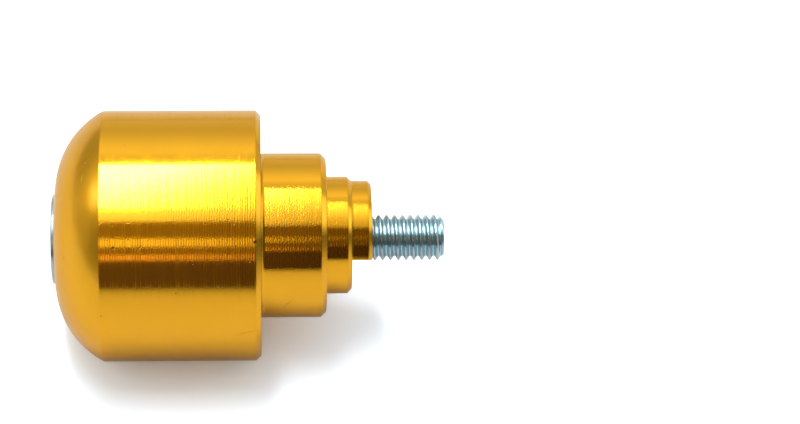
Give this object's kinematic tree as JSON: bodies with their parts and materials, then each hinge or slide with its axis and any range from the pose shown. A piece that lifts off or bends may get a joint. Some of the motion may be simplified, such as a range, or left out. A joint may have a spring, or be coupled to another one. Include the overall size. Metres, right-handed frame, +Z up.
{
  "type": "bar end weight",
  "caption": "Turned aluminium weight for the end of a motorcycle handlebar, with a domed nose, a stepped spigot with a milled flat, and a loose countersunk socket screw.",
  "frame": {"origin": "centre of the spigot's first step, on the turning axis, in the end face of the collar that meets the end of the handlebar", "axes": "+X along the turning axis from the domed nose into the bar, +Z up with the barrel lying on a flat surface 16 mm below the axis, +Y away from the viewer"},
  "size_m": [0.0499, 0.032, 0.032],
  "materials": {
    "gold_anodised_aluminium": "fine turned and gold anodised, satin gloss",
    "zinc_plated_steel": "bright zinc plated with a pale blue passivation"
  },
  "bodies": {
    "root": {"weight": "gold_anodised_aluminium", "screw": "zinc_plated_steel"}
  },
  "joints": []
}
